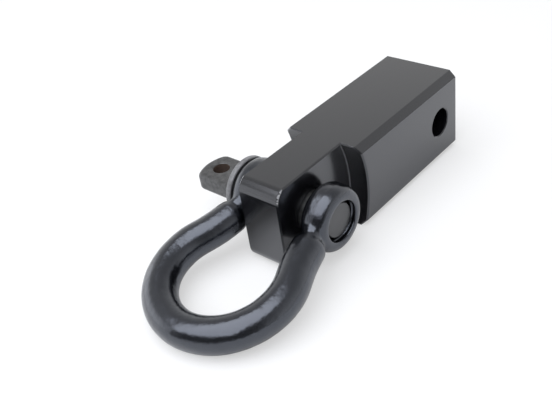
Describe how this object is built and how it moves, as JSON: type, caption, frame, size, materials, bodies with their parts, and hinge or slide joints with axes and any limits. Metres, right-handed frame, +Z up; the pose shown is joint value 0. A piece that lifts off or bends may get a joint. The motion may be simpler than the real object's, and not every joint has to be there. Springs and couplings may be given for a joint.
{
  "type": "hitch receiver shackle",
  "caption": "Solid square receiver block with a waisted, round-nosed neck that carries a forged bow shackle on a screw pin, for recovery straps and hooks.",
  "frame": {"origin": "centre of the cross hole in the shank that takes the hitch pin", "axes": "+X along the shank towards the bow, +Y along the hitch-pin hole away from the pin's tab, +Z up through the shank's top face"},
  "size_m": [0.2232, 0.1092, 0.0508],
  "materials": {
    "block_coat": "satin black coat",
    "bow_coat": "glossy black paint over forged steel",
    "pin_coat": "satin black coat over turned and forged steel"
  },
  "bodies": {
    "block": {"receiver_block": "block_coat"},
    "bow": {"shackle_bow": "bow_coat"},
    "pin": {"shackle_pin": "pin_coat"}
  },
  "joints": [
    {"name": "bow_swing", "type": "hinge", "parent": "block", "child": "bow", "pos_m": [0.1055, 0.0012, 0], "axis": [0, 1, 0], "range_deg": [-137, 117]},
    {"name": "pin_withdraw", "type": "slide", "parent": "bow", "child": "pin", "axis": [0, -1, 0], "range_m": [0, 0.07]}
  ]
}
